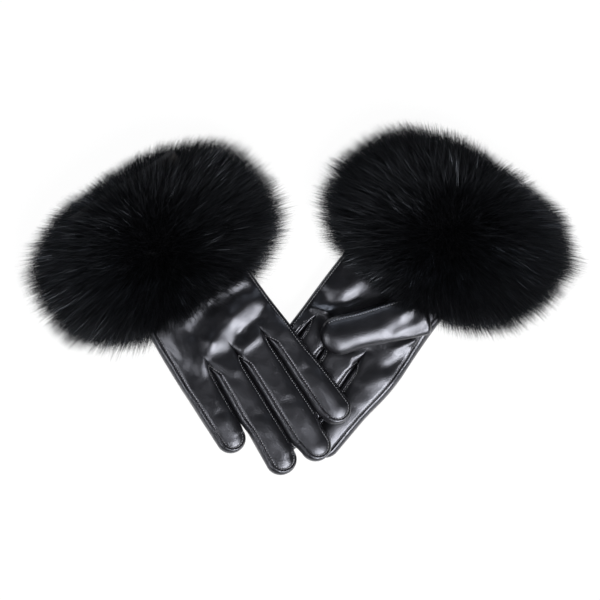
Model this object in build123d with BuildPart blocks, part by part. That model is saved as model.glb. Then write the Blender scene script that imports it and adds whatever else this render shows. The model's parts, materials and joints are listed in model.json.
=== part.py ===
"""A pair of leather gloves with deep fur cuffs, laid flat with the right glove's fingers over the left's.

Each glove is drawn in its own hand frame: the fingers point along +Y from the wrist, the index side is -X,
the little finger's side is +X, and the back of the hand is +Z. The right glove lies back up. The left glove
is the same drawing turned over, so it lies palm up. Millimetres, +Z up, the floor at Z = 0.
"""

import os
from collections import namedtuple
from math import cos, radians, sin

from build123d import *

# ---- Materials
leather = 1.0  # thickness of the glove leather
lining_cloth = 0.6  # thickness of the lining
pelt = 1.2  # thickness of the skin that carries the fur
clearance = 0.3  # air between pieces that move apart

# ---- The flat hand
hand_depth = 14.0  # palm face to back face
gauntlet = 84.0  # leather from the wrist to the mouth of the cuff
gauntlet_half_width = 42.0
wrist_half_width = 41.5
finger_base = 46.0  # how far up the hand each finger's own outline starts

# ---- The thumb, folded over the palm
thumb_depth = 14.0
thumb_length = 78.0  # heel to tip
thumb_heel = 2.0  # from the heel's flat end to the line that the thumb turns about
thumb_base_width = 30.0
thumb_tip_radius = 12.7
thumb_turn_point = (-28.7, 13.5)  # where that line crosses the middle of the thumb
thumb_angle = 50.4  # direction of the thumb from +X
thumb_mouth_forward = 15.0  # centre of the opening between palm and thumb, from the turning line
thumb_mouth_length = 22.0
thumb_mouth_width = 18.0

# ---- The fur cuff
cuff_front = 5.0  # the fur starts this far behind the wrist
binding = 3.0  # width of the band that closes the mouth's edge
fur_middle_height = 24.0  # height of the widest level of the fur above the floor
fur_half_height = 38.0
fur_roundness = 2.4  # 2 gives an ellipse in plan, more gives a squarer outline
fur_fullness = 0.6  # how little the fur's height falls off towards its ends; 0 is not at all
fur_stations = 7

# ---- Where the two gloves lie
left_middle_height = 10.0  # middle of the left hand above the floor
# The right hand rests on the left hand's fingers.
right_middle_height = left_middle_height + hand_depth + clearance

Finger = namedtuple("Finger", "name root_in root_out tip radius")
Glove = namedtuple("Glove", "side back_up middle_height place turn edge fingers crotches fur")
Fur = namedtuple("Fur", "half_width centre lean length_centre half_length overhang")

right_glove = Glove(
    side="right",
    back_up=True,
    middle_height=right_middle_height,
    place=(-79.4, 7.3),
    turn=-146.6,
    # knuckle points of the two long edges: index side, then little finger's side
    edge=((-44.2, 58.0), (44.0, 58.0)),
    fingers=(
        Finger("index", (-44.2, finger_base), (-26.2, finger_base), (-38.0, 126.5), 11.0),
        Finger("middle", (-25.0, finger_base), (-2.9, finger_base), (-12.6, 140.5), 11.0),
        Finger("ring", (-1.7, finger_base), (18.1, finger_base), (13.4, 135.4), 10.6),
        Finger("pinky", (19.3, finger_base), (44.0, finger_base), (34.6, 103.8), 10.2),
    ),
    crotches=((-25.6, 56.4), (-2.3, 57.8), (18.7, 52.3)),
    # its overhang is how far it reaches past the cuff's mouth
    fur=Fur(half_width=86.0, centre=4.0, lean=0.03, length_centre=-38.0, half_length=61.0, overhang=8.0),
)

left_glove = Glove(
    side="left",
    back_up=False,
    middle_height=left_middle_height,
    place=(69.9, 17.7),
    turn=144.4,
    edge=((-42.0, 62.0), (43.8, 73.0)),
    fingers=(
        Finger("index", (-42.0, finger_base), (-10.9, finger_base), (-24.6, 129.0), 11.0),
        Finger("middle", (-9.7, finger_base), (14.6, finger_base), (0.0, 141.0), 11.0),
        Finger("ring", (15.8, finger_base), (32.4, finger_base), (23.0, 135.0), 10.3),
        Finger("pinky", (33.6, finger_base), (43.8, 73.0), (45.2, 103.0), 9.5),
    ),
    crotches=((-10.3, 69.0), (15.2, 70.0), (33.0, 63.7)),
    fur=Fur(half_width=87.0, centre=-5.0, lean=0.1, length_centre=-40.0, half_length=68.0, overhang=14.0),
)

# ---- Worked out
half_depth = hand_depth / 2
cavity_top = half_depth - leather  # inner face of the back and palm panels
lining_top = cavity_top - lining_cloth
thumb_near = -half_depth - clearance  # the thumb's face towards the palm
thumb_far = thumb_near - thumb_depth
thumb_tip_forward = thumb_length - thumb_heel - thumb_tip_radius
mouth_end = -gauntlet - binding
far_away = 400.0


def hand_outline(glove, wall=0.0):
    """The flat glove seen from above, from the gauntlet's mouth to the fingertips, drawn in by a wall."""
    areas = [palm_outline(glove)] + [finger_outline(finger) for finger in glove.fingers]
    drawn_in = [inside(area, wall) for area in areas]
    with BuildSketch() as outline:
        for area in drawn_in:
            add(area)
    return outline.sketch


def palm_outline(glove):
    """The gauntlet and the hand, up to the crotches between the fingers."""
    (index_x, index_y), (little_x, little_y) = glove.edge
    with BuildSketch() as outline:
        with BuildLine():
            Polyline(
                (-gauntlet_half_width, -gauntlet),
                (-wrist_half_width, 0),
                (index_x, index_y),
                *glove.crotches,
                (little_x, little_y),
                (wrist_half_width, 0),
                (gauntlet_half_width, -gauntlet),
                close=True,
            )
        make_face()
    return outline.sketch


def finger_outline(finger):
    """A finger lying flat: its root edge and its round tip, joined by straight sides."""
    with BuildSketch() as outline:
        with BuildLine():
            Line(finger.root_in, finger.root_out)
            CenterArc(finger.tip, finger.radius, 0, 360)
        make_hull()
    return outline.sketch


def thumb_outline():
    """The thumb lying flat, drawn along its own +X from the turning line."""
    half_base = thumb_base_width / 2
    with BuildSketch() as outline:
        with BuildLine():
            Line((-thumb_heel, -half_base), (-thumb_heel, half_base))
            CenterArc((thumb_tip_forward, 0), thumb_tip_radius, 0, 360)
        make_hull()
    return outline.sketch


def inside(outline, wall):
    """The same simple outline drawn in by a wall."""
    with BuildSketch() as smaller:
        add(outline)
        if wall:
            offset(amount=-wall, mode=Mode.REPLACE)
    return smaller.sketch


def around(outline, wall):
    """The same simple outline drawn out by a wall, with its corners kept sharp."""
    with BuildSketch() as larger:
        add(outline)
        offset(amount=wall, kind=Kind.INTERSECTION, mode=Mode.REPLACE)
    return larger.sketch


def slab(outline, plane, low, high):
    """An outline extruded between two levels of a plane."""
    with BuildPart() as solid:
        with BuildSketch(plane.offset(low)):
            add(outline)
        extrude(amount=high - low)
    return solid.part


def finger_line(finger, reach):
    """Two points on a finger's centre line: level with its root, and reach past its tip."""
    root_x = (finger.root_in[0] + finger.root_out[0]) / 2
    tip_x, tip_y = finger.tip
    slope = (tip_x - root_x) / (tip_y - finger_base)
    return (root_x, finger_base), (tip_x + slope * reach, tip_y + reach)


def wall_areas(glove):
    """Names and areas that share the side wall out between its strips, parted at the fingertips."""
    lines = [finger_line(finger, 3 * finger.radius) for finger in glove.fingers]
    (first_root, first_tip), (last_root, last_tip) = lines[0], lines[-1]
    areas = {
        "index_side_strip": [
            (-far_away, mouth_end),
            (first_root[0], mouth_end),
            first_root,
            first_tip,
            (-far_away, first_tip[1]),
        ]
    }
    for (one, other), (near, far) in zip(
        zip(glove.fingers, glove.fingers[1:]), zip(lines, lines[1:])
    ):
        areas[f"fourchette_{one.name}_{other.name}"] = [near[0], near[1], far[1], far[0]]
    areas["pinky_side_strip"] = [
        last_root,
        (last_root[0], mouth_end),
        (far_away, mouth_end),
        (far_away, last_tip[1]),
        last_tip,
    ]
    return areas


def bag(outside, hollow, plane, low, high):
    """A thin closed bag of lining between two outlines, as thick on its faces as on its sides."""
    with BuildPart() as cloth_bag:
        with BuildSketch(plane.offset(low)):
            add(outside)
        extrude(amount=high - low)
        with BuildSketch(plane.offset(low + lining_cloth)):
            add(hollow)
        extrude(amount=high - low - 2 * lining_cloth, mode=Mode.SUBTRACT)
    return cloth_bag.part


def fur_share(distance, half_length):
    """How wide the fur is at a distance from its middle, as a share of its widest."""
    return (1 - (abs(distance) / half_length) ** fur_roundness) ** (1 / fur_roundness)


def fur_volume(glove):
    """The outside of the fur: a long cushion, flattened where it lies on the floor."""
    up = 1 if glove.back_up else -1
    fur = glove.fur
    floor = -up * glove.middle_height
    middle = floor + up * fur_middle_height
    length = gauntlet + binding + fur.overhang - cuff_front
    with BuildPart() as volume:
        for station in range(fur_stations):
            along = -cuff_front - length * station / (fur_stations - 1)
            share = fur_share(along - fur.length_centre, fur.half_length)
            centre = fur.centre + fur.lean * (along - fur.length_centre)
            with BuildSketch(Plane.XZ.offset(-along)):
                with Locations((centre, middle)):
                    Ellipse(fur.half_width * share, fur_half_height * share**fur_fullness)
        loft()
        split(bisect_by=Plane.XY.offset(floor), keep=Keep.TOP if glove.back_up else Keep.BOTTOM)
    return volume.part


def place(glove, shape):
    """A piece moved from its hand frame to where its glove lies."""
    if not glove.back_up:
        shape = shape.mirror(Plane.XY)
    return shape.moved(Location((*glove.place, glove.middle_height), (0, 0, glove.turn)))


def hand_pieces(glove, outline, thumb_plane):
    """The back, the palm with its thumb hole, the strips between them, and the lining."""
    cavity = hand_outline(glove, leather)
    hollow = hand_outline(glove, leather + lining_cloth)

    with BuildPart() as back_panel:
        with BuildSketch(Plane.XY.offset(cavity_top)):
            add(outline)
        extrude(amount=leather)

    with BuildPart() as palm_panel:
        with BuildSketch(Plane.XY.offset(-half_depth)):
            add(outline)
        extrude(amount=leather)
        with BuildSketch(thumb_plane.offset(-half_depth)):
            with Locations((thumb_mouth_forward, 0)):
                Ellipse(thumb_mouth_length / 2, thumb_mouth_width / 2)
        extrude(amount=leather, mode=Mode.SUBTRACT)

    strips = {}
    for name, corners in wall_areas(glove).items():
        with BuildPart() as strip:
            with BuildSketch(Plane.XY.offset(-cavity_top)):
                add(outline)
                add(cavity, mode=Mode.SUBTRACT)
                with Locations((0, -gauntlet)):
                    Rectangle(2 * (gauntlet_half_width - leather), 4 * leather, mode=Mode.SUBTRACT)
                with BuildLine():
                    Polyline(*corners, close=True)
                make_face(mode=Mode.INTERSECT)
            extrude(amount=2 * cavity_top)
        strips[name] = strip.part

    closed_bag = bag(cavity, hollow, Plane.XY, -cavity_top, cavity_top)
    with BuildPart() as lining:
        add(closed_bag)
        with BuildSketch(thumb_plane.offset(-cavity_top)):
            with Locations((thumb_mouth_forward, 0)):
                Ellipse(thumb_mouth_length / 2, thumb_mouth_width / 2)
        extrude(amount=lining_cloth, mode=Mode.SUBTRACT)
        with BuildSketch(Plane.XY.offset(-lining_top)):
            with Locations((0, -gauntlet)):
                Rectangle(2 * (gauntlet_half_width - leather - lining_cloth), 4 * leather)
        extrude(amount=2 * lining_top, mode=Mode.SUBTRACT)

    return {"back_panel": back_panel.part, "palm_panel": palm_panel.part, **strips, "lining": lining.part}


def thumb_pieces(thumb_plane):
    """The thumb's two faces, the strip round them and its lining, open where it meets the palm."""
    outline = thumb_outline()
    cavity = inside(outline, leather)
    hollow = inside(outline, leather + lining_cloth)

    with BuildPart() as front:
        with BuildSketch(thumb_plane.offset(thumb_far)):
            add(outline)
        extrude(amount=leather)

    with BuildPart() as heel_face:
        with BuildSketch(thumb_plane.offset(thumb_near - leather)):
            add(outline)
        extrude(amount=leather)
        with BuildSketch(thumb_plane.offset(thumb_near - leather)):
            with Locations((thumb_mouth_forward, 0)):
                Ellipse(thumb_mouth_length / 2, thumb_mouth_width / 2)
        extrude(amount=leather, mode=Mode.SUBTRACT)

    with BuildPart() as side:
        with BuildSketch(thumb_plane.offset(thumb_far + leather)):
            add(outline)
            add(cavity, mode=Mode.SUBTRACT)
        extrude(amount=thumb_depth - 2 * leather)

    closed_bag = bag(cavity, hollow, thumb_plane, thumb_far + leather, thumb_near - leather)
    with BuildPart() as lining:
        add(closed_bag)
        with BuildSketch(thumb_plane.offset(thumb_near - leather)):
            with Locations((thumb_mouth_forward, 0)):
                Ellipse(thumb_mouth_length / 2, thumb_mouth_width / 2)
        extrude(amount=-lining_cloth, mode=Mode.SUBTRACT)

    return {
        "thumb_front": front.part,
        "thumb_back": heel_face.part,
        "thumb_side_strip": side.part,
        "thumb_lining": lining.part,
    }


def cuff_pieces(glove):
    """The pelt round the gauntlet, the fur that it carries, and the band at the cuff's mouth."""
    outline = palm_outline(glove)
    leather_space = slab(outline, Plane.XY, -half_depth, half_depth)
    envelope = slab(around(outline, pelt), Plane.XY, -half_depth - pelt, half_depth + pelt)
    fur_outside = fur_volume(glove)
    behind_front = Plane.XZ.offset(cuff_front)

    with BuildPart() as pelt_band:
        add(envelope)
        add(leather_space, mode=Mode.SUBTRACT)
        split(bisect_by=behind_front, keep=Keep.TOP)
        split(bisect_by=Plane.XZ.offset(gauntlet), keep=Keep.BOTTOM)

    with BuildPart() as cuff_binding:
        with BuildSketch(Plane.XZ.offset(gauntlet)):
            Rectangle(2 * (gauntlet_half_width + pelt), 2 * (half_depth + pelt))
            Rectangle(
                2 * (gauntlet_half_width - leather - lining_cloth), 2 * lining_top, mode=Mode.SUBTRACT
            )
        extrude(amount=binding)

    with BuildPart() as fur:
        add(fur_outside)
        add(envelope, mode=Mode.SUBTRACT)
        with BuildSketch(Plane.XZ.offset(gauntlet)):
            Rectangle(2 * (gauntlet_half_width + pelt), 2 * (half_depth + pelt))
        extrude(amount=binding + glove.fur.overhang, mode=Mode.SUBTRACT)

    return {"fur_cuff": fur.part, "pelt_band": pelt_band.part, "cuff_binding": cuff_binding.part}


def glove_pieces(glove):
    """Every piece of one glove, in its hand frame."""
    outline = hand_outline(glove)
    along_thumb = (cos(radians(thumb_angle)), sin(radians(thumb_angle)), 0)
    thumb_plane = Plane(origin=(*thumb_turn_point, 0), x_dir=along_thumb, z_dir=(0, 0, 1))
    return {
        **hand_pieces(glove, outline, thumb_plane),
        **thumb_pieces(thumb_plane),
        **cuff_pieces(glove),
    }


os.makedirs("parts", exist_ok=True)
for glove in (left_glove, right_glove):
    for name, shape in glove_pieces(glove).items():
        piece = place(glove, shape)
        piece.label = f"{glove.side}_{name}"
        export_step(piece, f"parts/{piece.label}.step")
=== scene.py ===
import json
import math

import bmesh
import bpy
import numpy as np
from mathutils import Matrix, Vector, noise


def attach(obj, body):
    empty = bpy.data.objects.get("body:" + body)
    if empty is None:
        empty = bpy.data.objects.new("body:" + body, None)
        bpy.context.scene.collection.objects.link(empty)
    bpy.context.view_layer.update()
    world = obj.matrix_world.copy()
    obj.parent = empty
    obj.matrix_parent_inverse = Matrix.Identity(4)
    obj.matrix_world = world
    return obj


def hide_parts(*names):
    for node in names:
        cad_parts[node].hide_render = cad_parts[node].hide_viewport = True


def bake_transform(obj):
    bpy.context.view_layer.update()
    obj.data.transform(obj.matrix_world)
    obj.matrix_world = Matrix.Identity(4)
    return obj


bl_info = {
    "name": "Fur-cuffed leather gloves",
    "version": (1, 0, 0),
    "blender": (4, 5, 0),
    "location": "View3D > Sidebar > Gloves",
    "description": "Finishes the pair of leather gloves over its fixed frame",
    "category": "Object",
}

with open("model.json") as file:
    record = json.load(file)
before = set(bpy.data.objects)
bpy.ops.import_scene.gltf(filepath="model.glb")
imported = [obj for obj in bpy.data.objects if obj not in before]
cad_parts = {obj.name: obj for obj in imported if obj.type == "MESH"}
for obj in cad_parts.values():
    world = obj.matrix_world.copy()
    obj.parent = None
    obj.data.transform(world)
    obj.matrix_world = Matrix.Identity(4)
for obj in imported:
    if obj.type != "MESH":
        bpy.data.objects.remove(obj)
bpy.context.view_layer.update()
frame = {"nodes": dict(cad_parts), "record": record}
MOUNTS = {mount["name"]: mount for mount in frame["record"]["mounts"]}
MM = 0.001
UP = Vector((0.0, 0.0, 1.0))
COLUMNS = 16  # across each finger
HAND_ROWS = 84
FINGER_ROWS = 56

# Lengths below are in millimetres.
FINGER_BASE = 46.0  # how far up the hand each finger's own outline starts
WRIST_FROM_MOUTH = 87.0
GAUNTLET = 84.0  # how far the leather runs back from the wrist
HALF_WRIST = 41.5
HALF_MOUTH = 42.0
NEIGHBOUR_LAP = 0.15  # how far each finger's side goes past the line it shares with the next
SEAM_REACH = 1.6  # how far the lighter seam colour runs from a seam: partly rubbed wear, partly a painted highlight on the seam's edge
LEATHER_WALL = 0.7
LINING_GAP = 2.6  # from the leather's face to the lining's, at the crown
LINING_INSET = 1.1
LINING_WALL = 0.4
STITCH_PITCH = 1.9
STITCH_INSET = 0.95  # from the seam to the row of stitches
STITCHED_FROM = 0.45  # share of the hand's length below which the fur hides the seams


# ------------ settings


class LeatherSettings(bpy.types.PropertyGroup):
    colour: bpy.props.FloatVectorProperty(
        name="Colour",
        description="Colour of the leather in the hollows of its grain",
        subtype="COLOR",
        size=3,
        min=0,
        max=1,
        default=(0.0009, 0.0009, 0.0012),
    )
    # The lighter bluish colour is partly rubbed wear, partly painted sheen on raised grain and
    # painted highlight along the seams; the leather's own black stays in the hollows of the grain.
    rubbed_and_sheen: bpy.props.FloatVectorProperty(
        name="Rubbed colour",
        description="Colour of the leather where it is raised or rubbed",
        subtype="COLOR",
        size=3,
        min=0,
        max=1,
        default=(0.0040, 0.0038, 0.0047),
    )
    roughness: bpy.props.FloatProperty(
        name="Roughness", description="Roughness of the finish", min=0, max=1, default=0.30
    )
    half_depth: bpy.props.FloatProperty(
        name="Half depth",
        description="Half the thickness of the flat glove, in millimetres",
        default=6.8,
    )


class FurSettings(bpy.types.PropertyGroup):
    colour: bpy.props.FloatVectorProperty(
        name="Colour",
        description="Colour of the long hair",
        subtype="COLOR",
        size=3,
        min=0,
        max=1,
        default=(0.0010, 0.0010, 0.0013),
    )
    strands: bpy.props.IntProperty(
        name="Hairs", description="Number of hairs in each piece of fur", default=24500
    )
    width: bpy.props.FloatProperty(
        name="Hair width", description="Width of a hair at its root, in millimetres", default=0.42
    )
    pieces: bpy.props.IntProperty(
        name="Pieces", description="Number of pieces that share a cuff's hair", default=5
    )


# ------------ shader maths


class Wire:
    """A socket that can be used in an expression."""

    def __init__(self, tree, socket):
        self.tree = tree
        self.socket = socket

    def math(self, operation, other):
        node = self.tree.nodes.new("ShaderNodeMath")
        node.operation = operation
        for slot, value in zip(node.inputs, (self, other)):
            if isinstance(value, Wire):
                self.tree.links.new(value.socket, slot)
            else:
                slot.default_value = value
        return Wire(self.tree, node.outputs[0])

    def __add__(self, other):
        return self.math("ADD", other)

    __radd__ = __add__

    def __mul__(self, other):
        return self.math("MULTIPLY", other)

    def __sub__(self, other):
        return self.math("SUBTRACT", other)


class Finish:
    """A material's node tree, with one method that adds any node."""

    def __init__(self, name):
        self.material = bpy.data.materials.new(name)
        self.material.use_nodes = True
        self.tree = self.material.node_tree
        self.tree.nodes.clear()

    def node(self, kind, settings=None, inputs=None, output=0):
        made = self.tree.nodes.new(kind)
        for name, value in (settings or {}).items():
            setattr(made, name, value)
        for name, value in (inputs or {}).items():
            if isinstance(value, Wire):
                self.tree.links.new(value.socket, made.inputs[name])
            else:
                made.inputs[name].default_value = value
        return Wire(self.tree, made.outputs[output]) if made.outputs else None

    def place(self):
        return self.node("ShaderNodeTexCoord", output="Object")

    def noise(self, where, scale, detail=3.0, roughness=0.55):
        return self.node(
            "ShaderNodeTexNoise",
            inputs={"Vector": where, "Scale": scale, "Detail": detail, "Roughness": roughness},
            output="Fac",
        )

    def cells(self, where, scale):
        return self.node(
            "ShaderNodeTexVoronoi", inputs={"Vector": where, "Scale": scale}, output="Distance"
        )

    def between(self, share, low, high):
        """A share from 0 to 1, held there, of the way from low to high."""
        return self.node(
            "ShaderNodeMapRange",
            settings={"clamp": True},
            inputs={"Value": share, "From Min": low, "From Max": high},
        )

    def blend(self, share, one, other):
        mixed = self.tree.nodes.new("ShaderNodeMix")
        mixed.data_type = "RGBA"
        for slot, value in ((0, share), (6, one), (7, other)):
            if isinstance(value, Wire):
                self.tree.links.new(value.socket, mixed.inputs[slot])
            else:
                mixed.inputs[slot].default_value = value
        return Wire(self.tree, mixed.outputs[2])

    def bump(self, height, distance):
        return self.node(
            "ShaderNodeBump", inputs={"Height": height, "Distance": distance, "Strength": 1.0}
        )

    def surface(self, **inputs):
        shader = self.node(
            "ShaderNodeBsdfPrincipled",
            inputs={name.replace("_", " "): value for name, value in inputs.items()},
        )
        self.node("ShaderNodeOutputMaterial", inputs={"Surface": shader})
        return self.material


def rgba(colour):
    return (*colour[:3], 1.0)


def leather_finish(name, settings, seam_wear_and_highlight=0.5):
    """Smooth black leather: fine grain, uneven sheen, and a colour lighter on raised grain and near
    its seams, partly rubbed wear and partly painted sheen and painted highlight.
    """
    finish = Finish(name)
    where = finish.place()
    grain = finish.cells(where, 1500.0)
    pores = finish.noise(where, 2600.0, 4.0, 0.7)
    crumple = finish.noise(where, 120.0, 4.0, 0.6)
    patches = finish.noise(where, 36.0, 3.0)
    seam = finish.node("ShaderNodeAttribute", settings={"attribute_name": "seam"}, output="Fac")
    # Partly real: random patches and rubbed wear. Partly painted light: raised grain and the seams
    # get the lighter colour as painted sheen and painted highlight.
    wear_and_sheen = patches * 0.55 + crumple * 0.3 + pores * 0.3 + seam * seam_wear_and_highlight
    rubbed_and_sheen = finish.between(wear_and_sheen, 0.42, 1.05)
    colour = finish.blend(rubbed_and_sheen, rgba(settings.colour), rgba(settings.rubbed_and_sheen))
    speckle = finish.noise(where, 1100.0, 2.0, 0.8)
    height = grain * 0.3 + pores * 0.4 + crumple + speckle * 1.7
    rough = settings.roughness - 0.06 + crumple * 0.16 - seam * 0.06
    return finish.surface(
        Base_Color=colour,
        Roughness=rough,
        Normal=finish.bump(height, 0.00009),
        Specular_IOR_Level=0.6,
        Specular_Tint=(0.86, 0.88, 1.0, 1.0),
        Coat_Weight=0.12,
        Coat_Roughness=0.3,
    )


def thread_finish():
    """Waxed black sewing thread, painted up to light grey in streaks as a painted highlight, so its
    stitches show as light lines.
    """
    finish = Finish("sewing_thread")
    twist_and_glint = finish.noise(finish.place(), 5200.0, 2.0)
    # The black thread's lighter grey is a painted highlight along the stitches.
    colour = finish.blend(twist_and_glint, (0.10, 0.10, 0.11, 1.0), (0.34, 0.34, 0.36, 1.0))
    return finish.surface(Base_Color=colour, Roughness=0.5, Normal=finish.bump(twist_and_glint, 0.0001))


def knit_finish():
    """A matt dark knitted lining."""
    finish = Finish("knitted_lining")
    where = finish.place()
    loops = finish.cells(where, 900.0)
    fuzz = finish.noise(where, 2200.0, 3.0)
    colour = finish.blend(loops, (0.035, 0.035, 0.038, 1.0), (0.012, 0.012, 0.014, 1.0))
    return finish.surface(
        Base_Color=colour, Roughness=0.9, Normal=finish.bump(loops + fuzz * 0.4, 0.0005)
    )


def suede_finish():
    """The bare side of the pelt: matt, dark and a little mottled."""
    finish = Finish("pelt_suede")
    where = finish.place()
    mottle = finish.noise(where, 160.0, 4.0)
    nap = finish.noise(where, 1800.0, 3.0)
    colour = finish.blend(mottle, (0.012, 0.010, 0.009, 1.0), (0.035, 0.030, 0.027, 1.0))
    return finish.surface(Base_Color=colour, Roughness=0.92, Normal=finish.bump(nap, 0.0003))


def tape_finish():
    """Woven binding tape round the mouth of the cuff."""
    finish = Finish("binding_tape")
    where = finish.place()
    weave = finish.node(
        "ShaderNodeTexWave",
        inputs={"Vector": where, "Scale": 420.0, "Distortion": 0.6},
        output="Fac",
    )
    colour = finish.blend(weave, (0.010, 0.010, 0.011, 1.0), (0.035, 0.035, 0.037, 1.0))
    return finish.surface(Base_Color=colour, Roughness=0.75, Normal=finish.bump(weave, 0.0003))


def hair_finish(name, settings, roughness, level):
    """Long black hair; each hair is its own shape, so its colour is the same all over."""
    return Finish(name).surface(
        Base_Color=rgba(settings.colour),
        Roughness=roughness,
        Specular_IOR_Level=level,
        Specular_Tint=(0.82, 0.88, 1.0, 1.0),
    )


def undercoat_finish():
    """The dense dark wool under the long hair."""
    finish = Finish("undercoat")
    where = finish.place()
    tufts = finish.noise(where, 260.0, 4.0, 0.7)
    colour = finish.blend(tufts, (0.001, 0.001, 0.0012, 1.0), (0.004, 0.004, 0.005, 1.0))
    return finish.surface(
        Base_Color=colour,
        Roughness=0.95,
        Specular_IOR_Level=0.1,
        Normal=finish.bump(tufts, 0.003),
    )


# ------------ the flat hand


def lerp(low, high, share):
    return low + (high - low) * share


def near(gap, width):
    """1 on a line, falling softly to 0 past a width from it."""
    return math.exp(-((gap / width) ** 2))


def bowed(value, power):
    """A power of a value's size, with the value's sign."""
    return math.copysign(abs(value) ** power, value)


def rounded(spread, power):
    """The height of a rounded edge: 1 in the middle, 0 at a spread of 1."""
    return math.sqrt(max(0.0, 1 - spread**power))


def folds(lines, x, y):
    """The sum of soft ridges and hollows along short lines."""
    total = 0.0
    for (ax, ay), (bx, by), width, size in lines:
        dx, dy = bx - ax, by - ay
        share = min(max(((x - ax) * dx + (y - ay) * dy) / (dx * dx + dy * dy), 0.0), 1.0)
        total += size * near(math.hypot(x - ax - share * dx, y - ay - share * dy), width)
    return total


def smooth(low, high, value):
    share = min(max((value - low) / (high - low), 0.0), 1.0)
    return share * share * (3 - 2 * share)


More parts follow.
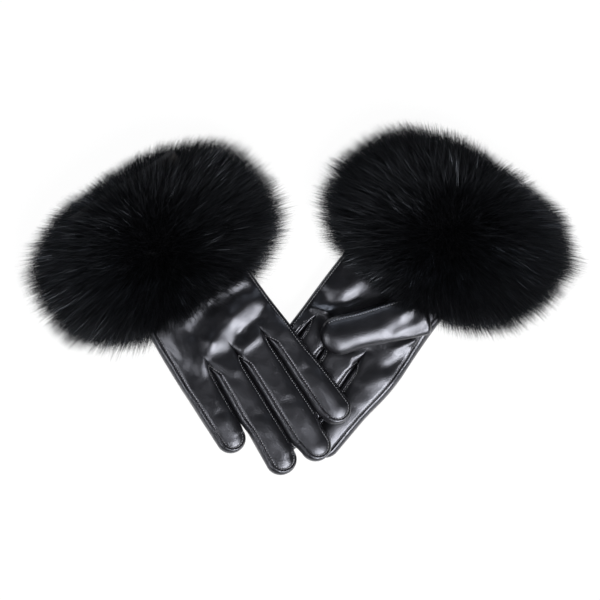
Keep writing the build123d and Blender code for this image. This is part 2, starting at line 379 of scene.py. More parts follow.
class Glove:
    """One glove's flat shape in its own hand frame, in millimetres.

    X runs across the hand, Y from the wrist to the fingertips and Z up. Each finger is the inner
    and the outer root of its sides, the middle of its round tip and that tip's radius. Each crease
    is where a fold starts and ends, its width and its height.
    """

    def __init__(self, side, palm_up, edge, fingers, crotches, seams, creases, thumb_side):
        self.side = side
        self.palm_up = palm_up
        self.edge = edge
        self.fingers = fingers
        self.crotches = crotches
        self.seams = seams
        self.creases = creases
        self.thumb_side = thumb_side
        mouth = MOUNTS[f"{side}_cuff_mouth"]
        self.forward = -Vector(mouth["axis"])
        self.across = self.forward.cross(UP)
        self.wrist = Vector(mouth["pos_m"]) + self.forward * WRIST_FROM_MOUTH * MM

    def matrix(self):
        turn = Matrix((self.across, self.forward, UP)).transposed()
        return Matrix.Translation(self.wrist) @ turn.to_4x4() @ Matrix.Scale(MM, 4)

    def sides(self, y):
        """The long edges of the hand at a height."""
        (index_x, index_y), (little_x, little_y) = self.edge
        if y < 0:
            half = lerp(HALF_WRIST, HALF_MOUTH, -y / GAUNTLET)
            return -half, half
        bulge = 0.8 * math.sin(math.pi * min(y / 60, 1.0))
        left = lerp(-HALF_WRIST, index_x, min(y / index_y, 1.0)) + bulge
        right = lerp(HALF_WRIST, little_x, min(y / little_y, 1.0)) + bulge * 0.6
        return left, right

    def root_y(self, finger, share):
        """Where the hand ends and a finger starts, across that finger."""
        marks = [self.edge[0][1]] + [y for _, y in self.crotches] + [self.edge[1][1]]
        arch = 3.0 * math.sin(math.pi * share)
        return lerp(marks[finger], marks[finger + 1], share) + arch

    def side_lines(self, finger, y):
        """A finger's own two straight sides at a height."""
        root_in, root_out, (tip_x, tip_y), radius = self.fingers[finger]
        sides = []
        for (root_x, root_y), edge_x in ((root_in, tip_x - radius), (root_out, tip_x + radius)):
            share = min(max((y - root_y) / (tip_y - root_y), 0.0), 1.0)
            sides.append(lerp(root_x, edge_x, share))
        return sides

    def finger_sides(self, finger, share):
        """The outline of a finger at a share of its length; it touches its neighbours' sides."""
        tip_y = self.fingers[finger][2][1]
        sides = []
        for edge, beside in ((0, finger - 1), (1, finger + 1)):
            y = lerp(self.root_y(finger, edge), tip_y, share)
            x = self.side_lines(finger, y)[edge]
            if 0 <= beside <= 3:
                reach = min(tip_y, self.fingers[beside][2][1])
                lap = NEIGHBOUR_LAP if edge else -NEIGHBOUR_LAP
                meet = (x + self.side_lines(beside, y)[1 - edge]) / 2 + lap
                x = lerp(meet, x, smooth(reach - 8.0, reach + 6.0, y))
                x = lerp(self.crotches[finger - 1 + edge][0], x, smooth(0.0, 0.06, share))
            else:
                x = lerp(self.sides(y)[edge], x, smooth(0.0, 0.6, share))
            sides.append(x)
        return sides

    def inset(self, finger, share, scale, extra):
        """How far the panel's edge lies inside the outline, left and right."""
        insets = []
        for edge, outermost in ((0, finger == 0), (1, finger == 3)):
            if outermost:
                insets.append(self.seams["hand"][edge] * scale + extra)
            else:
                seam = self.seams["finger"][edge] * smooth(0.0, 0.14, share) * scale
                insets.append(seam + extra * smooth(0.0, 0.04, share))
        return insets

    def finger_point(self, finger, turn, share, scale=1.0, extra=0.0):
        """A point on a finger: turn runs from -1 to 1 across it, share from its root to its tip."""
        _, _, (_, tip_y), radius = self.fingers[finger]
        left, right = self.finger_sides(finger, share)
        inset_left, inset_right = self.inset(finger, share, scale, extra)
        x = lerp(left + inset_left, right - inset_right, (turn + 1) / 2)
        reach = radius - self.seams["tip"] * scale - extra
        end = tip_y + reach * rounded(turn, 2)
        y = lerp(self.root_y(finger, (turn + 1) / 2), end, share)
        return x, y

    def drawn_in(self, y, scale, extra):
        """The panel's long edges on the hand at a height."""
        left, right = self.sides(y)
        inset_left, inset_right = self.seams["hand"]
        return left + inset_left * scale + extra, right - inset_right * scale - extra

    def hand_point(self, finger, turn, share, scale=1.0, extra=0.0):
        """A point on the hand or gauntlet, on the line that runs on into a finger's own."""
        root_x, _ = self.finger_point(finger, turn, 0.0, scale, extra)
        last = self.root_y(finger, (turn + 1) / 2)
        left, right = self.drawn_in(last, scale, extra)
        even = (finger + (turn + 1) / 2) / 4
        part = lerp(even, (root_x - left) / (right - left), smooth(0.3, 1.0, share))
        y = lerp(-GAUNTLET, last, share)
        left, right = self.drawn_in(y, scale, extra)
        return lerp(left, right, part), y

    def height(self, x, y, finger, share, half_depth):
        """The crown of the flat glove above its middle; the share is below 0 on the hand."""
        left, right = self.sides(min(y, 60.0))
        spread = abs(2 * x - left - right) / (right - left)
        hand = half_depth * rounded(min(spread, 1.0), 7)
        near_root = self.root_y(finger, 0.5)
        weight = smooth(near_root - 13.0, near_root + 3.0, y)
        if weight <= 0.0:
            return hand
        _, _, (tip_x, tip_y), radius = self.fingers[finger]
        along = max(share, 0.0)
        left, right = self.finger_sides(finger, along)
        spread = abs(2 * x - left - right) / (right - left)
        if y > tip_y:
            spread = math.hypot((x - tip_x) / radius, (y - tip_y) / radius)
        power = lerp(6.0, 2.3, smooth(0.0, 0.4, along))
        fall = 1.0 + 0.06 * smooth(0.2, 0.6, along) - 0.30 * smooth(0.6, 1.05, along)
        return lerp(hand, half_depth * fall * rounded(min(spread, 1.0), power), weight)

    def rumple(self, x, y):
        """Slight unevenness of leather over a lining."""
        spot = Vector((x / 13.0, y / 17.0, 3.0))
        fine = Vector((x / 4.6, y / 6.0, 12.0))
        return 0.55 * noise.noise(spot) + 0.16 * noise.noise(fine)

    def droop(self, y):
        """The lower glove's fingers sink to the floor; the upper ones lie on them."""
        return -2.4 * smooth(10.0, 110.0, y) if self.palm_up else -0.2 * smooth(10, 60, y)


RIGHT = Glove(
    side="right",
    palm_up=False,
    edge=((-44.2, 58.0), (44.4, 58.0)),
    fingers=(
        ((-44.2, FINGER_BASE), (-26.2, FINGER_BASE), (-38.4, 126.5), 11.0),
        ((-25.0, FINGER_BASE), (-2.9, FINGER_BASE), (-12.4, 140.5), 11.0),
        ((-1.7, FINGER_BASE), (18.1, FINGER_BASE), (13.6, 135.4), 10.6),
        ((19.3, FINGER_BASE), (44.4, FINGER_BASE), (34.6, 103.8), 10.2),
    ),
    crotches=((-25.6, 56.4), (-2.3, 57.8), (18.7, 52.3)),
    seams={"hand": (1.0, 4.6), "finger": (0.9, 4.8), "tip": 2.2},
    creases=(
        ((24, 12), (31, 40), 7.0, 1.7),
        ((24, 50), (8, 40), 5.4, 1.25),
        ((8, 40), (-14, 33), 5.4, 1.5),
        ((-14, 33), (-38, 32), 5.4, 1.2),
        ((15, 27), (-6, 19), 6.0, -1.6),
        ((-6, 19), (-30, 22), 5.0, -1.5),
        ((2, 52), (-12, 46), 4.0, -1.2),
        ((-12, 46), (-30, 44), 3.6, -1.2),
        ((-6, 56), (-24, 54), 3.4, 1.2),
        ((-30, 12), (-36, 16), 6.0, 1.4),
        ((38, 22), (30, 52), 3.0, -0.8),
        ((6, 66), (14, 54), 4.0, 0.9),
        ((-33, 41), (-40, 38), 2.0, -0.9),
        ((31, 84), (24, 88), 2.4, -0.5),
        ((10, 100), (2, 104), 2.4, -0.4),
        ((-12, 103), (-20, 107), 2.6, -0.4),
        ((-36, 92), (-44, 96), 2.6, -0.4),
    ),
    thumb_side=-1,
)

LEFT = Glove(
    side="left",
    palm_up=True,
    edge=((-42.0, 62.0), (43.8, 73.0)),
    fingers=(
        ((-42.0, FINGER_BASE), (-10.9, FINGER_BASE), (-24.6, 129.0), 11.0),
        ((-9.7, FINGER_BASE), (14.6, FINGER_BASE), (0.0, 141.0), 11.0),
        ((15.8, FINGER_BASE), (32.4, FINGER_BASE), (23.0, 135.0), 10.3),
        ((33.6, FINGER_BASE), (43.8, 73.0), (45.2, 103.0), 9.5),
    ),
    crotches=((-10.3, 69.0), (15.2, 70.0), (33.0, 63.7)),
    seams={"hand": (4.3, 1.2), "finger": (2.6, 2.6), "tip": 1.8},
    creases=(
        ((38, 57), (27, 53), 2.2, 1.5),
        ((27, 53), (22, 44), 2.4, 1.3),
        ((32, 48), (38, 44), 4.0, -1.6),
        ((23, 23), (27, 34), 6.0, 1.5),
        ((16, 32), (24, 46), 3.0, -1.2),
        ((12, 74), (-12, 58), 3.0, -1.0),
        ((-26, 47), (-33, 36), 2.2, 1.4),
        ((-33, 36), (-38, 22), 2.4, 1.3),
        ((-34, 48), (-30, 60), 3.6, -1.1),
        ((-29, 70), (-24, 78), 6.0, 1.0),
        ((-18, 66), (-20, 84), 3.0, -0.6),
        ((-4, 68), (-9, 76), 2.0, 0.8),
        ((-33, 96), (-20, 99), 3.0, -0.4),
    ),
    thumb_side=1,
)

GLOVES = (LEFT, RIGHT)


# ------------ making pieces


def finished(glove, mesh, material, nodes, on_thumb=False):
    """Makes a mesh in the shared frame a piece of a glove."""
    mesh.shade_smooth()
    mesh.materials.append(material)
    piece = bpy.data.objects.new(mesh.name, mesh)
    bpy.context.collection.objects.link(piece)
    if not on_thumb:
        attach(piece, f"{glove.side}_glove")
    if nodes:
        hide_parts(*(f"{glove.side}_{node}" for node in nodes))
    return piece


def settle(glove, name, shape, material, nodes, on_thumb=False):
    """Turns a bmesh in a glove's or its thumb's own frame into a piece of that glove."""
    shape.transform(thumb_matrix(glove) if on_thumb else glove.matrix())
    mesh = bpy.data.meshes.new(f"{glove.side}_{name}")
    shape.to_mesh(mesh)
    shape.free()
    return finished(glove, mesh, material, nodes, on_thumb)


def turns():
    """Places across a finger, closer together towards its sides."""
    return [math.sin(math.pi / 2 * (2 * step / COLUMNS - 1)) for step in range(COLUMNS + 1)]


def thicken(piece, name, wall):
    """Gives a sheet its wall, inwards from its face."""
    thick = piece.modifiers.new(name, "SOLIDIFY")
    thick.thickness = wall * MM
    thick.offset = -1.0


def surface_z(glove, x, y, finger, share, half_depth, upper, edge_gap):
    """The height of the leather: crown, folds, and the dip that its seams pull in."""
    crown = glove.height(x, y, finger, share, half_depth)
    dip = 0.6 * near(edge_gap, 0.7) - 0.2 * near(edge_gap - 1.5, 0.7)
    if not upper:
        return glove.droop(y) - max(crown * 0.96 - dip, 0.0)
    room = min(crown / half_depth, 1.0)
    lumps = (folds(glove.creases, x, y) + glove.rumple(x, y)) * room**0.7
    if y < 0:
        lumps *= 0.4
    return glove.droop(y) + max(crown + lumps - dip, 0.0)


def grid_sheet(glove, finger, on_hand, upper, half_depth, shrink):
    """One finger, or the strip of hand that runs into it, as a mapped grid."""
    rows = HAND_ROWS if on_hand else FINGER_ROWS
    sheet = bmesh.new()
    seam = sheet.verts.layers.float.new("seam")
    bmesh.ops.create_grid(sheet, x_segments=COLUMNS, y_segments=rows, size=1.0)
    place = glove.hand_point if on_hand else glove.finger_point
    for vert in sheet.verts:
        turn = math.sin(math.pi / 2 * vert.co.x)
        share = (vert.co.y + 1) / 2
        x, y = place(finger, turn, share, 1.0, shrink)
        far_x, _ = place(finger, 1.0, share, 1.0, shrink)
        near_x, _ = place(finger, -1.0, share, 1.0, shrink)
        gaps = []
        if not on_hand or finger == 0:
            gaps.append(x - near_x)
        if not on_hand or finger == 3:
            gaps.append(far_x - x)
        if on_hand:
            for crotch_x, crotch_y in glove.crotches:
                gaps.append(math.hypot(x - crotch_x, max(crotch_y - y, 0.0)))
        else:
            _, tip_end = place(finger, turn, 1.0, 1.0, shrink)
            gaps.append(tip_end - y)
        gap = max(min(gaps), 0.0)
        z = surface_z(glove, x, y, finger, -1 if on_hand else share, half_depth, upper, gap)
        vert[seam] = near(gap, SEAM_REACH)
        vert.co = (x, y, z)
    return sheet


def join_into(target, source):
    """Adds one bmesh to another."""
    mesh = bpy.data.meshes.new("part")
    source.to_mesh(mesh)
    source.free()
    target.from_mesh(mesh)
    bpy.data.meshes.remove(mesh)


def panel(glove, upper, half_depth, shrink=0.0):
    """The back or palm of a glove, from the cuff's mouth to the fingertips."""
    sheet = bmesh.new()
    sheet.verts.layers.float.new("seam")
    for finger in range(4):
        for on_hand in (True, False):
            join_into(sheet, grid_sheet(glove, finger, on_hand, upper, half_depth, shrink))
    bmesh.ops.remove_doubles(sheet, verts=sheet.verts, dist=0.05)
    bmesh.ops.recalc_face_normals(sheet, faces=sheet.faces)
    if (sum(face.normal.z for face in sheet.faces) > 0) != upper:
        bmesh.ops.reverse_faces(sheet, faces=sheet.faces)
    return sheet


def seam_run(strip):
    """The steps along one side strip's seam: (finger, on the hand?, turn, share) in order."""
    tip_turns = turns()
    half = COLUMNS // 2
    hand = [step / HAND_ROWS for step in range(HAND_ROWS)]
    finger = [step / FINGER_ROWS for step in range(FINGER_ROWS + 1)]
    run = []
    if strip == 0:
        run += [(0, True, -1.0, share) for share in hand]
    else:
        run += [(strip - 1, False, turn, 1.0) for turn in tip_turns[half:-1]]
        run += [(strip - 1, False, 1.0, share) for share in reversed(finger)]
    if strip < 4:
        run += [(strip, False, -1.0, share) for share in finger[(1 if strip else 0):]]
        run += [(strip, False, turn, 1.0) for turn in tip_turns[1 : half + 1]]
    else:
        run += [(3, True, 1.0, share) for share in reversed(hand)]
    return run


def seam_point(glove, step, scale, extra, half_depth, upper, edge_gap):
    """A point on or near a seam, on the upper or lower side of the glove."""
    finger, on_hand, turn, share = step
    place = glove.hand_point if on_hand else glove.finger_point
    x, y = place(finger, turn, share, scale, extra)
    z = surface_z(glove, x, y, finger, -1 if on_hand else share, half_depth, upper, edge_gap)
    return x, y, z


STRIP_ROWS = (
    # share of the inset left, is it on the upper side, and how near the seam it counts as
    (1.0, True, 0.0),
    (0.8, True, 0.9),
    (0.55, True, 2.0),
    (0.3, True, 4.0),
    (0.14, True, 4.0),
    (0.04, True, 4.0),
    (0.0, False, 4.0),
    (0.08, False, 4.0),
    (0.3, False, 4.0),
    (0.6, False, 2.0),
    (0.85, False, 0.9),
    (1.0, False, 0.0),
)


def side_strip(glove, strip, half_depth, shrink=0.0):
    """A strip between back and palm, drawn out row by row from one seam round to the other."""
    run = seam_run(strip)
    band = bmesh.new()
    seam = band.verts.layers.float.new("seam")
    last = None
    for scale, upper, gap in STRIP_ROWS:
        row = []
        for step in run:
            vert = band.verts.new(seam_point(glove, step, scale, shrink, half_depth, upper, gap))
            vert[seam] = near(gap, SEAM_REACH)
            row.append(vert)
        edges = [band.edges.new(pair) for pair in zip(row, row[1:])]
        if last:
            bmesh.ops.bridge_loops(band, edges=last + edges)
        last = edges
    bmesh.ops.remove_doubles(band, verts=band.verts, dist=0.002)
    bmesh.ops.recalc_face_normals(band, faces=band.faces)
    outward = sum(
        face.normal.z * math.copysign(1.0, face.calc_center_median().z) for face in band.faces
    )
    if outward < 0:
        bmesh.ops.reverse_faces(band, faces=band.faces)
    return band


def stitch_shape():
    """One stitch: a short raised bead of thread, lying along +X."""
    bead = bmesh.new()
    bmesh.ops.create_uvsphere(bead, u_segments=6, v_segments=4, radius=1.0)
    bmesh.ops.scale(bead, vec=(0.62, 0.20, 0.20), verts=bead.verts)
    return bead


def copies(template, places):
    """Many copies of a small shape in one bmesh. Each place is a 4 by 4 matrix."""
    template.verts.ensure_lookup_table()
    corners = np.array([[*vert.co, 1.0] for vert in template.verts])
    faces = [[vert.index for vert in face.verts] for face in template.faces]
    template.free()
    moved = np.einsum("nij,vj->nvi", np.array(places), corners)[..., :3].reshape(-1, 3)
    many = [
        [index + copy * len(corners) for index in face]
        for copy in range(len(places))
        for face in faces
    ]
    mesh = bpy.data.meshes.new("copies")
    mesh.from_pydata(moved.tolist(), [], many)
    shape = bmesh.new()
    shape.from_mesh(mesh)
    bpy.data.meshes.remove(mesh)
    return shape


def stitch_places(points):
    """A frame for each stitch along a line of points, lying along it and flat on the leather."""
    line = [Vector(point) for point in points]
    places = []
    carried = 0.0
    for here, there in zip(line, line[1:]):
        length = (there - here).length
        if length < 1e-6:
            continue
        along = (there - here) / length
        side = UP.cross(along)
        side = side.normalized() if side.length > 1e-6 else Vector((1, 0, 0))
        top = along.cross(side)
        while carried < length:
            spot = here + along * carried + top * 0.05
            turn = Matrix((along, side, top)).transposed().to_4x4()
            places.append(Matrix.Translation(spot) @ turn)
            carried += STITCH_PITCH
        carried -= length
    return places


# ------------ operators


class GLOVES_OT_panels(bpy.types.Operator):
    """Make the back and the palm of each glove"""

    bl_idname = "gloves.panels"
    bl_label = "Back and palm panels"

    def execute(self, context):
        settings = context.scene.glove_leather
        material = leather_finish("panel_leather", settings)
        for glove in GLOVES:
            for upper in (True, False):
                part = "palm" if upper == glove.palm_up else "back"
                shape = panel(glove, upper, settings.half_depth)
                nodes = [f"{part}_panel"]
                piece = settle(glove, f"{part}_leather", shape, material, nodes)
                thicken(piece, "leather", LEATHER_WALL)
        return {"FINISHED"}


class GLOVES_OT_side_strips(bpy.types.Operator):
    """Make the side strips and the strips between the fingers"""

    bl_idname = "gloves.side_strips"
    bl_label = "Side strips"

    def execute(self, context):
        settings = context.scene.glove_leather
        # Seams painted lighter: part rubbed wear, part painted highlight on the seam's edge.
        material = leather_finish("side_leather", settings, seam_wear_and_highlight=0.35)
        names = (
            "index_side_strip",
            "fourchette_index_middle",
            "fourchette_middle_ring",
            "fourchette_ring_pinky",
            "pinky_side_strip",
        )
        for glove in GLOVES:
            for strip, name in enumerate(names):
                shape = side_strip(glove, strip, settings.half_depth)
                settle(glove, f"{name}_leather", shape, material, [name])
        return {"FINISHED"}


class GLOVES_OT_stitches(bpy.types.Operator):
    """Sew the panels to the strips"""

    bl_idname = "gloves.stitches"
    bl_label = "Stitches"

    def execute(self, context):
        half_depth = context.scene.glove_leather.half_depth
        material = thread_finish()
        for glove in GLOVES:
            places = []
            for strip in range(5):
                points = [
                    seam_point(glove, step, 1.0, STITCH_INSET, half_depth, True, STITCH_INSET)
                    for step in seam_run(strip)
                    if not (step[1] and step[3] < STITCHED_FROM)
                ]
                places += stitch_places(points)
            shape = copies(stitch_shape(), places)
            settle(glove, "seam_stitches", shape, material, [])
        return {"FINISHED"}


class GLOVES_OT_linings(bpy.types.Operator):
    """Make the linings of the hands"""

    bl_idname = "gloves.linings"
    bl_label = "Linings"

    def execute(self, context):
        material = knit_finish()
        inner = context.scene.glove_leather.half_depth - LINING_GAP
        for glove in GLOVES:
            bag = bmesh.new()
            bag.verts.layers.float.new("seam")
            for upper in (True, False):
                join_into(bag, panel(glove, upper, inner, shrink=LINING_INSET))
            for strip in range(5):
                join_into(bag, side_strip(glove, strip, inner, shrink=LINING_INSET))
            bmesh.ops.remove_doubles(bag, verts=bag.verts, dist=0.01)
            piece = settle(glove, "knitted_lining", bag, material, ["lining"])
            thicken(piece, "cloth", LINING_WALL)
        return {"FINISHED"}


THUMB_ANGLE = math.radians(50.4)
THUMB_TURN = (-28.7, 13.5)  # where its turning line crosses its middle
THUMB_LEVEL = 14.3  # its middle from the middle of the hand
THUMB_HEEL = -2.0  # both ends of the thumb, along it from its turning line
THUMB_TIP = 76.0
TIP_LENGTH = 12.7
THUMB_BOW = 0.93  # below 1 makes its section fuller than an ellipse
THUMB_SEAM = 0.86  # share of its half width at which its seam runs
THUMB_STITCHES = 0.80
THUMB_LINING_INSET = 2.2


def thumb_section(along):
    """Half the width and half the thickness of the thumb at a distance from its turning line."""
    width = lerp(15.6, 13.0, smooth(THUMB_HEEL, 50.0, along)) + 0.7 * near(along - 62, 8)
    thick = lerp(6.4, 6.9, smooth(0.0, 60.0, along))
    tip_start = THUMB_TIP - TIP_LENGTH
    if along > tip_start:
        share = min((along - tip_start) / TIP_LENGTH, 1.0)
        width *= rounded(share, 2.1)
        thick *= rounded(share, 2.6)
    if along < 3.0:
        share = min((3.0 - along) / 5.0, 1.0)
        width *= rounded(share, 3)
        thick *= rounded(share, 2.2)
    return width, thick


def thumb_matrix(glove):
    """From the thumb's own frame, which runs along +X with its front up, to the shared frame."""
    along = Vector((math.cos(THUMB_ANGLE), math.sin(THUMB_ANGLE), 0.0))
    turn = Matrix((along, UP.cross(along), UP)).transposed().to_4x4()
    spot = Matrix.Translation((*THUMB_TURN, THUMB_LEVEL * glove.thumb_side))
    flip = Matrix.Scale(glove.thumb_side, 4, (0, 0, 1))
    return glove.matrix() @ spot @ turn @ flip


THUMB_CREASES = (
    # where a fold starts and ends, along and across the thumb; its width and height
    ((4, 9), (20, 13), 3.6, -0.9),
    ((10, 2), (26, 6), 4.5, -0.9),
    ((8, -8), (17, -4), 4.5, 1.1),
    ((34, 5), (62, 3), 6.0, 0.5),
    ((30, 11), (34, 5), 3.0, -0.4),
)


def thumb_lump(along, across):
    spot = Vector((along / 11.0, across / 9.0, 4.0))
    return folds(THUMB_CREASES, along, across) + 0.4 * noise.noise(spot)


def thumb_pouch(glove, shrink, lumps):
    """The thumb as a long closed pouch, mapped from a ball whose poles are its heel and its tip."""
    pouch = bmesh.new()
    seam = pouch.verts.layers.float.new("seam")
    bmesh.ops.create_uvsphere(pouch, u_segments=72, v_segments=96, radius=1.0)
    for vert in pouch.verts:
        ring = math.hypot(vert.co.x, vert.co.y)
        at_pole = ring < 1e-6
        along = lerp(THUMB_HEEL, THUMB_TIP, 0.5 + 0.5 * bowed(vert.co.z, 0.75))
        width, thick = (max(size - shrink, 0.0) for size in thumb_section(along))
        y = 0.0 if at_pole else width * bowed(vert.co.x / ring, THUMB_BOW)
        z = 0.0 if at_pole else thick * bowed(vert.co.y / ring, 0.95)
        seamed = z > 0 and 6 < along < THUMB_TIP - 6
        # This seam mask paints the thumb's seam lighter: part rubbed wear, part painted highlight.
        vert[seam] = near(y + THUMB_SEAM * width, 1.0) if seamed else 0.0
        if z > 0 and lumps:
            z += thumb_lump(along, y) * min(z / 5.0, 1.0) + 0.5 * vert[seam]
        vert.co = (along, y, z)
    bmesh.ops.remove_doubles(pouch, verts=pouch.verts, dist=0.001)
    bmesh.ops.recalc_face_normals(pouch, faces=pouch.faces)
    if glove.thumb_side < 0:  # its matrix will mirror it
        bmesh.ops.reverse_faces(pouch, faces=pouch.faces)
    return pouch


def thumb_stitches():
    """A row of stitches along the thumb's seam."""
    points = []
    for along in range(12, 68):
        width, thick = thumb_section(along)
        share = THUMB_STITCHES ** (1 / THUMB_BOW)
        points.append((along, -THUMB_STITCHES * width, thick * rounded(share, 2) ** 0.95 + 0.25))
    return copies(stitch_shape(), stitch_places(points))


class GLOVES_OT_thumbs(bpy.types.Operator):
    """Make the thumbs, folded over the palms, with their linings and stitches"""

    bl_idname = "gloves.thumbs"
    bl_label = "Thumbs"

    def execute(self, context):
        settings = context.scene.glove_leather
        # The thumb's seam is painted lightest: part rubbed wear, part painted highlight on the
        # seam's edge.
        leather = leather_finish("thumb_leather", settings, seam_wear_and_highlight=0.7)
        knit = knit_finish()
        thread = thread_finish()
        outside_nodes = ["thumb_front", "thumb_back", "thumb_side_strip"]
        for glove in GLOVES:
            outside = thumb_pouch(glove, 0.0, True)
            inner = thumb_pouch(glove, THUMB_LINING_INSET, False)
            place = thumb_matrix(glove)
            start = tuple(place @ Vector((THUMB_HEEL, 0.0, 0.0)))
            end = tuple(place @ Vector((20.0, 0.0, 0.0)))
            for name, shape, material, nodes, slot_name in (
                ("thumb_leather", outside, leather, outside_nodes, "panel_leather"),
                ("thumb_knit", inner, knit, ["thumb_lining"], "lining_cloth"),
                ("thumb_stitches", thumb_stitches(), thread, [], "side_leather"),
            ):
                piece = settle(glove, name, shape, material, nodes, on_thumb=True)
                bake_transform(piece)
        return {"FINISHED"}


# ------------ the fur

FUR_TOP = 58.0  # above the floor
FUR_WAIST = 12.0  # the height at which the fur is widest
UNDERCOAT = 0.80  # share of the way out to the tips of the fur
FLOOR_GAP = 0.3
HAIR_STEPS = 4  # stretches along one hair
LOCK = 34  # hairs in a lock, on average
UPPER_LOCKS = 0.68  # share of the locks that grow above the waist
ROOT_SPREAD = 0.80  # how much narrower the ring of roots is


class Cuff:
    """The outside of one fur cuff in its hand frame, in millimetres."""

    def __init__(self, glove, centre, half_width, middle, half_length, lean, power):
        self.glove = glove
        self.centre = centre
        self.half_width = half_width
        self.middle = middle
        self.half_length = half_length
        self.lean = lean
        self.power = power
        self.floor = -glove.wrist.z / MM
        self.top = self.floor + FUR_TOP

    def shell(self, way, share):
        """Points at a share of the way out to the tips of the fur, in unit directions."""
        flat = np.hypot(way[:, 0], way[:, 1]) + 1e-9
        rounding = np.abs(way[:, :2] / flat[:, None]) ** self.power
        squared = rounding.sum(axis=1) ** (-1 / self.power)
        # Above its waist the fur is domed; below, it is pressed out flat along the floor.
        full = squared * flat ** np.where(way[:, 2] < 0, -0.80, -0.15)
        y = way[:, 1] * full * self.half_length * share + self.middle
        x = way[:, 0] * full * self.half_width * share + self.centre + self.lean * (y - self.middle)
        waist = self.floor + FUR_WAIST
        z = np.where(way[:, 2] > 0, self.top - waist, FUR_WAIST) * way[:, 2] * share + waist
        return np.stack([x, y, z], axis=1)


def cuffs():
    return (
        Cuff(LEFT, -7.5, 90.0, -41.5, 63.0, 0.16, 2.5),
        Cuff(RIGHT, 4.0, 93.0, -38.0, 61.5, -0.10, 2.45),
    )


def undercoat(cuff):
    """The dense wool under the long hair, round the wrist."""
    wool = bmesh.new()
    bmesh.ops.create_icosphere(wool, subdivisions=6, radius=1.0)
    ways = np.array([vert.co[:] for vert in wool.verts])
    points = cuff.shell(ways, UNDERCOAT)
    points[:, 2] = np.maximum(points[:, 2] - 2.0, cuff.floor + 0.4)
    points[:, 1] = np.clip(points[:, 1], -96.0, -3.0)
    for vert, point in zip(wool.verts, points):
        lump = 1.6 * noise.noise(Vector(point) / 9.0)
        vert.co = point + np.array(vert.normal) * lump
        vert.co.z = max(vert.co.z, cuff.floor + 0.4)
    return wool


def hair_template():
    """One hair as a narrow blade of unit length, cut from a grid and drawn to a point."""
    blade = bmesh.new()
    bmesh.ops.create_grid(blade, x_segments=1, y_segments=HAIR_STEPS, size=1.0)
    for vert in blade.verts:
        vert.co.y = (vert.co.y + 1) / 2
    tip = [vert for vert in blade.verts if vert.co.y > 0.99]
    bmesh.ops.pointmerge(blade, verts=tip, merge_co=(0.0, 1.0, 0.0))
    bmesh.ops.triangulate(blade, faces=blade.faces)
    blade.verts.ensure_lookup_table()
    shape = np.array([[vert.co.x, vert.co.y] for vert in blade.verts])
    faces = np.array([[vert.index for vert in face.verts] for face in blade.faces])
    blade.free()
    return shape, faces


def unit(vectors):
    return vectors / (np.linalg.norm(vectors, axis=1, keepdims=True) + 1e-9)


def hair(cuff, count, width, seed, length, inner, spread):
    """Corners and faces of many hairs, each bending from the pelt out to the edge of the fur."""
    chance = np.random.default_rng(seed)
    locks = max(count // LOCK, 1)
    lock_way = unit(chance.normal(size=(locks, 3)))
    upward = np.where(chance.random(locks) < UPPER_LOCKS, 1.0, -1.0)
    lock_way[:, 2] = np.abs(lock_way[:, 2]) * upward
    lock_length = chance.normal(1.0, 0.05, size=locks)
    lock_bend = chance.normal(0.0, 1.0, size=(locks, 3))
    lock = chance.integers(0, locks, size=count)
    way = unit(lock_way[lock] + chance.normal(0, spread, size=(count, 3)))
    reach = lock_length[lock] * chance.normal(length, 0.05, size=count)
    reach = np.clip(reach, 0.5, 1.09)
    tip = cuff.shell(way, reach)
    lock_tip = cuff.shell(lock_way, lock_length * length)[lock]
    pull = chance.uniform(0.2, 0.85, size=(count, 1))
    tip = tip + (lock_tip - tip) * pull
    root = cuff.shell(way, inner)
    root[:, 0] = (root[:, 0] - cuff.centre) * ROOT_SPREAD + cuff.centre
    root[:, 2] = np.maximum(root[:, 2], cuff.floor + 1.0)
    swerve = lock_bend[lock] * 2.4 + chance.normal(0, 1.2, size=(count, 3))
    swerve[:, 2] = np.abs(swerve[:, 2]) * 0.6 + 3.0
    knee = root * 0.5 + tip * 0.5 + swerve
    keep_clear(cuff, tip, knee)
    shape, faces = hair_template()
    share = shape[:, 1][None, :, None]
    line = (1 - share) ** 2 * root[:, None]
    line = line + 2 * share * (1 - share) * knee[:, None] + share**2 * tip[:, None]
    along = unit(tip - root)
    side = unit(np.cross(along, chance.normal(size=(count, 3))))
    taper = (1 - shape[:, 1] ** 1.6)[None, :, None] * 0.92 + 0.08
    widths = width * chance.uniform(0.6, 1.25, size=(count, 1, 1)) / 2
    corners = line + side[:, None] * shape[:, 0][None, :, None] * widths * taper
    corners[:, :, 2] = np.maximum(corners[:, :, 2], cuff.floor + FLOOR_GAP)
    many = faces[None] + (np.arange(count) * len(shape))[:, None, None]
    return corners.reshape(-1, 3), many.reshape(-1, 3)


def keep_clear(cuff, *rows):
    """Hair that reaches over the hand lies on the leather, and hair under it stays under it."""
    hand_top, thumb_top = 8.6, 22.5
    parting = -2.0  # hair that starts above this level goes over the hand
    for points in rows:
        x, y, z = points[:, 0], points[:, 1], points[:, 2]
        over_hand = (np.abs(x) < 46.0) & (y > -8.0)
        over_thumb = cuff.glove.palm_up & (x < -2.0) & (y > -2.0)
        floor = np.where(over_thumb, thumb_top, hand_top)
        lift = over_hand & (z > parting) & (z < floor)
        points[:, 2] = np.where(lift, floor + 0.12 * (z - parting), z)
        sink = over_hand & (z <= parting) & (z > -hand_top)
        points[:, 2] = np.where(sink, -9.0, points[:, 2])


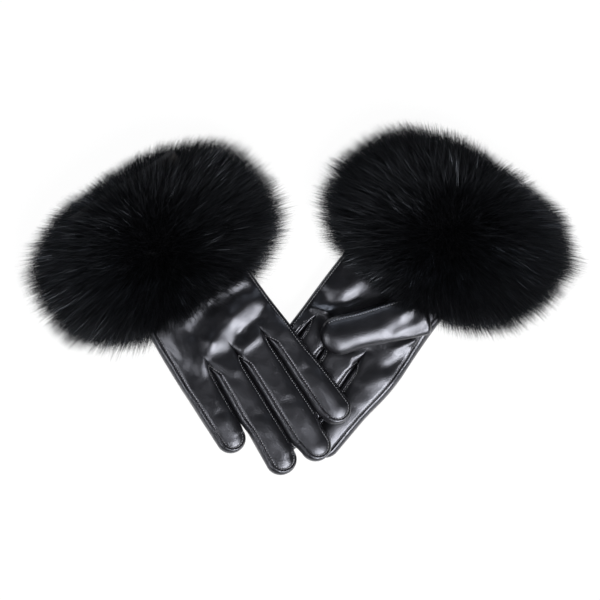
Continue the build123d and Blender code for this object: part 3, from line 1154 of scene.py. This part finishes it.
def hair_piece(name, cuff, corners, faces, material):
    mesh = bpy.data.meshes.new(f"{cuff.glove.side}_{name}")
    placed = np.c_[corners, np.ones(len(corners))] @ np.array(cuff.glove.matrix()).T
    mesh.vertices.add(len(corners))
    mesh.vertices.foreach_set("co", placed[:, :3].ravel())
    mesh.loops.add(faces.size)
    mesh.loops.foreach_set("vertex_index", faces.ravel().astype(np.int32))
    mesh.polygons.add(len(faces))
    mesh.polygons.foreach_set("loop_start", (np.arange(len(faces)) * 3).astype(np.int32))
    mesh.update(calc_edges=True)
    finished(cuff.glove, mesh, material, ["fur_cuff"])


class GLOVES_OT_fur(bpy.types.Operator):
    """Grow the fur of each cuff over its undercoat"""

    bl_idname = "gloves.fur"
    bl_label = "Fur cuffs"

    def execute(self, context):
        settings = context.scene.glove_fur
        guard = hair_finish("guard_hair", settings, 0.5, 0.16)
        glossy = hair_finish("glossy_hair", settings, 0.4, 0.7)
        under = hair_finish("under_hair", settings, 0.7, 0.05)
        wool = undercoat_finish()
        for cuff in cuffs():
            settle(cuff.glove, "undercoat", undercoat(cuff), wool, ["fur_cuff"])
            first_seed = 5 if cuff.glove is LEFT else 3
            for number in range(settings.pieces):
                short = number == 0
                last = number == settings.pieces - 1
                corners, faces = hair(
                    cuff,
                    settings.strands // (4 if last else 1),
                    settings.width * (1.3 if short else 1.0),
                    seed=17 * number + first_seed,
                    length=0.88 if short else 0.97 + 0.01 * number,
                    inner=0.5,
                    spread=0.16,
                )
                material = under if short else glossy if last else guard
                hair_piece(f"fur_{number + 1}", cuff, corners, faces, material)
        return {"FINISHED"}


class GLOVES_OT_trim(bpy.types.Operator):
    """Finish the pelt and the binding of each cuff"""

    bl_idname = "gloves.trim"
    bl_label = "Pelt and binding"

    def execute(self, context):
        finishes = {"pelt_band": suede_finish(), "cuff_binding": tape_finish()}
        for glove in GLOVES:
            for part, material in finishes.items():
                mesh = frame["nodes"][f"{glove.side}_{part}"].data
                mesh.materials.clear()
                mesh.materials.append(material)
        return {"FINISHED"}


# ------------ the stage


def lamp(name, energy, size, spot, aim, colour=(1.0, 1.0, 1.0)):
    data = bpy.data.lights.new(name, "AREA")
    data.energy = energy
    data.shape = "RECTANGLE"
    data.size, data.size_y = size
    data.color = colour
    made = bpy.data.objects.new(name, data)
    bpy.context.collection.objects.link(made)
    made.location = spot
    made.rotation_euler = (Vector(aim) - Vector(spot)).to_track_quat("-Z", "Y").to_euler()


def white_stage():
    """White paper: plain white to the eye, but it takes the object's shadow."""
    finish = Finish("white_paper")
    seen = finish.node("ShaderNodeLightPath", output="Is Camera Ray")
    paper = finish.node("ShaderNodeBsdfDiffuse", inputs={"Color": (0.86, 0.86, 0.86, 1.0)})
    glow = finish.node("ShaderNodeEmission", inputs={"Color": (1.0, 1.0, 1.0, 1.0)})
    mixed = finish.node("ShaderNodeMixShader", inputs={0: seen * 0.96, 1: paper, 2: glow})
    finish.node("ShaderNodeOutputMaterial", inputs={"Surface": mixed})
    return finish.material


class GLOVES_OT_stage(bpy.types.Operator):
    """Set the floor, the lights and the camera"""

    bl_idname = "gloves.stage"
    bl_label = "Stage"

    def execute(self, context):
        scene = context.scene
        scene.view_settings.view_transform = "Standard"
        floor = bmesh.new()
        bmesh.ops.create_grid(floor, x_segments=4, y_segments=4, size=3.0)
        mesh = bpy.data.meshes.new("floor")
        floor.to_mesh(mesh)
        floor.free()
        mesh.materials.append(white_stage())
        sheet = bpy.data.objects.new("floor", mesh)
        sheet.location.z = -0.0005
        bpy.context.collection.objects.link(sheet)
        world = bpy.data.worlds.new("studio")
        scene.world = world
        world.use_nodes = True
        sky = world.node_tree.nodes["Background"].inputs
        sky["Color"].default_value = (1.0, 1.0, 1.0, 1.0)
        sky["Strength"].default_value = 0.06
        middle = (0.0, 0.0, 0.0)
        lamp("front_softbox", 58.0, (0.85, 0.7), (0.6, -0.95, 1.25), (0.0, -0.03, 0.0))
        lamp("left_softbox", 12.0, (0.5, 0.8), (-1.1, -0.5, 1.0), middle)
        lamp("back_softbox", 10.0, (1.0, 0.3), (0.1, 1.1, 0.7), middle, (0.85, 0.92, 1.0))
        data = bpy.data.cameras.new("camera")
        eye = bpy.data.objects.new("camera", data)
        bpy.context.collection.objects.link(eye)
        distance = 2.4
        subject_level = 0.02
        seen_width = 0.42
        data.sensor_width = 36.0
        data.lens = data.sensor_width * (distance - subject_level) / seen_width
        data.clip_end = 20.0
        eye.location = (-0.0026, -0.0013, distance)
        scene.camera = eye
        return {"FINISHED"}


class GLOVES_PT_panel(bpy.types.Panel):
    """Settings and steps for the pair of gloves"""

    bl_idname = "GLOVES_PT_panel"
    bl_label = "Leather gloves"
    bl_space_type = "VIEW_3D"
    bl_region_type = "UI"
    bl_category = "Gloves"

    def draw(self, context):
        layout = self.layout
        for group in (context.scene.glove_leather, context.scene.glove_fur):
            box = layout.box()
            for name in group.__annotations__:
                box.prop(group, name)
        for step in STEPS:
            layout.operator(step.bl_idname)


STEPS = (
    GLOVES_OT_panels,
    GLOVES_OT_side_strips,
    GLOVES_OT_stitches,
    GLOVES_OT_linings,
    GLOVES_OT_thumbs,
    GLOVES_OT_trim,
    GLOVES_OT_fur,
    GLOVES_OT_stage,
)
CLASSES = (LeatherSettings, FurSettings, *STEPS, GLOVES_PT_panel)


def register():
    for made in CLASSES:
        bpy.utils.register_class(made)
    bpy.types.Scene.glove_leather = bpy.props.PointerProperty(type=LeatherSettings)
    bpy.types.Scene.glove_fur = bpy.props.PointerProperty(type=FurSettings)


def unregister():
    del bpy.types.Scene.glove_fur
    del bpy.types.Scene.glove_leather
    for made in reversed(CLASSES):
        bpy.utils.unregister_class(made)


def main():
    register()
    for step in STEPS:
        group, name = step.bl_idname.split(".")
        getattr(getattr(bpy.ops, group), name)()


if __name__ == "__main__":
    main()
